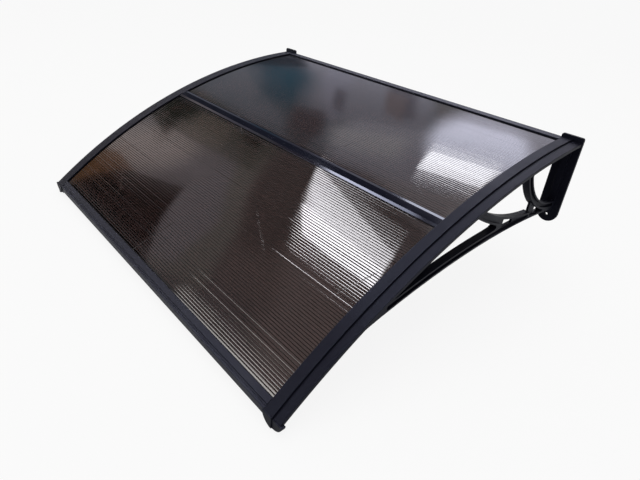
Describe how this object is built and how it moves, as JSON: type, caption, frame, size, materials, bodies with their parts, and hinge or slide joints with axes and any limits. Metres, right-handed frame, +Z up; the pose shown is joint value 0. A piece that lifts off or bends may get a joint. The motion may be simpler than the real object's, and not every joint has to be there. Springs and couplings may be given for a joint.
{
  "type": "door canopy",
  "caption": "Arched door canopy: smoked twin-wall polycarbonate sheets and dark aluminium bars between moulded scroll brackets that screw to a wall",
  "frame": {"origin": "Middle of the wall seal's flat back face, on the wall's surface, level with the rear bar, halfway between the brackets.", "axes": "X runs along the wall and is the mirror axis, -Y points away from the wall over the door, Z is up."},
  "size_m": [1.0476, 0.8152, 0.3377],
  "materials": {
    "black_moulded_plastic": "matte black, faint blue tint",
    "black_coated_aluminium": "black powder coat, satin",
    "smoked_polycarbonate": "smoked brown, glossy, see-through",
    "black_rubber": "matte",
    "black_zinc": "black zinc plating"
  },
  "bodies": {
    "root": {"bracket_left": "black_moulded_plastic", "bracket_right": "black_moulded_plastic", "sheet_front": "smoked_polycarbonate", "sheet_rear": "smoked_polycarbonate", "rear_bar": "black_coated_aluminium", "mid_bar": "black_coated_aluminium", "front_bar": "black_coated_aluminium", "wall_seal": "black_rubber", "screw_rear_left_1": "black_zinc", "screw_rear_left_2": "black_zinc", "screw_rear_right_1": "black_zinc", "screw_rear_right_2": "black_zinc", "screw_mid_left_1": "black_zinc", "screw_mid_left_2": "black_zinc", "screw_mid_right_1": "black_zinc", "screw_mid_right_2": "black_zinc", "screw_front_left_1": "black_zinc", "screw_front_left_2": "black_zinc", "screw_front_right_1": "black_zinc", "screw_front_right_2": "black_zinc"}
  },
  "joints": []
}
